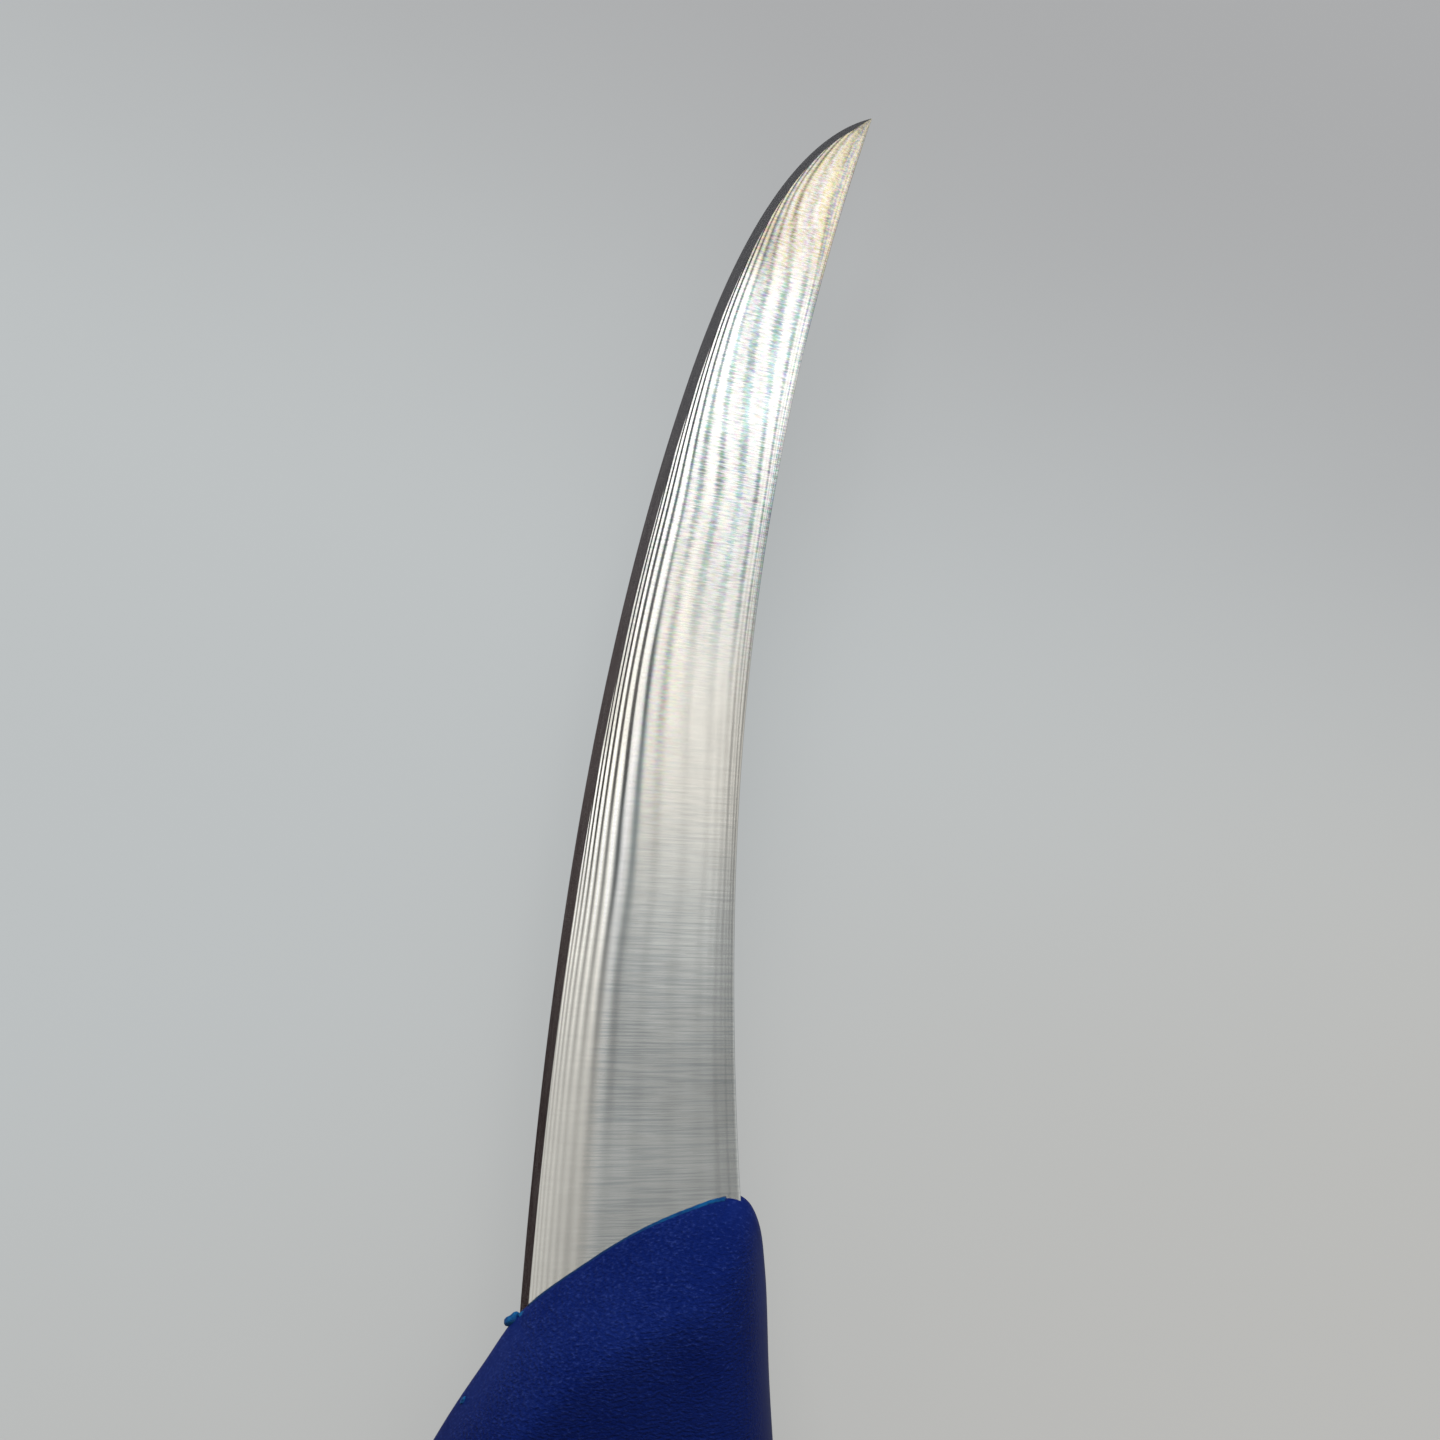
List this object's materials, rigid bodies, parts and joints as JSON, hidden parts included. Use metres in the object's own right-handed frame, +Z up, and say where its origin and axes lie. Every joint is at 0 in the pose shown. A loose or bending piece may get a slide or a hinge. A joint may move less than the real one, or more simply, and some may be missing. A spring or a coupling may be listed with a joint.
{
  "type": "curved boning knife",
  "caption": "Butcher's boning knife: a narrow upswept stainless blade with a ground edge, its tang locked in a blue moulded handle with a sloping finger guard.",
  "frame": {"origin": "middle of the knife's footprint, on the surface that it lies on", "axes": "+Y along the knife to its tip, +X from the cutting edge to the spine, +Z up, across the handle's thickness"},
  "size_m": [0.0618, 0.2782, 0.023],
  "materials": {
    "steel": "satin, cross-ground faces with a polished bevel along the edge",
    "handle_plastic": "dark blue moulded plastic with a fine raised grain, smooth beside the parting line"
  },
  "bodies": {
    "root": {"blade": "steel", "handle": "handle_plastic"}
  },
  "joints": []
}
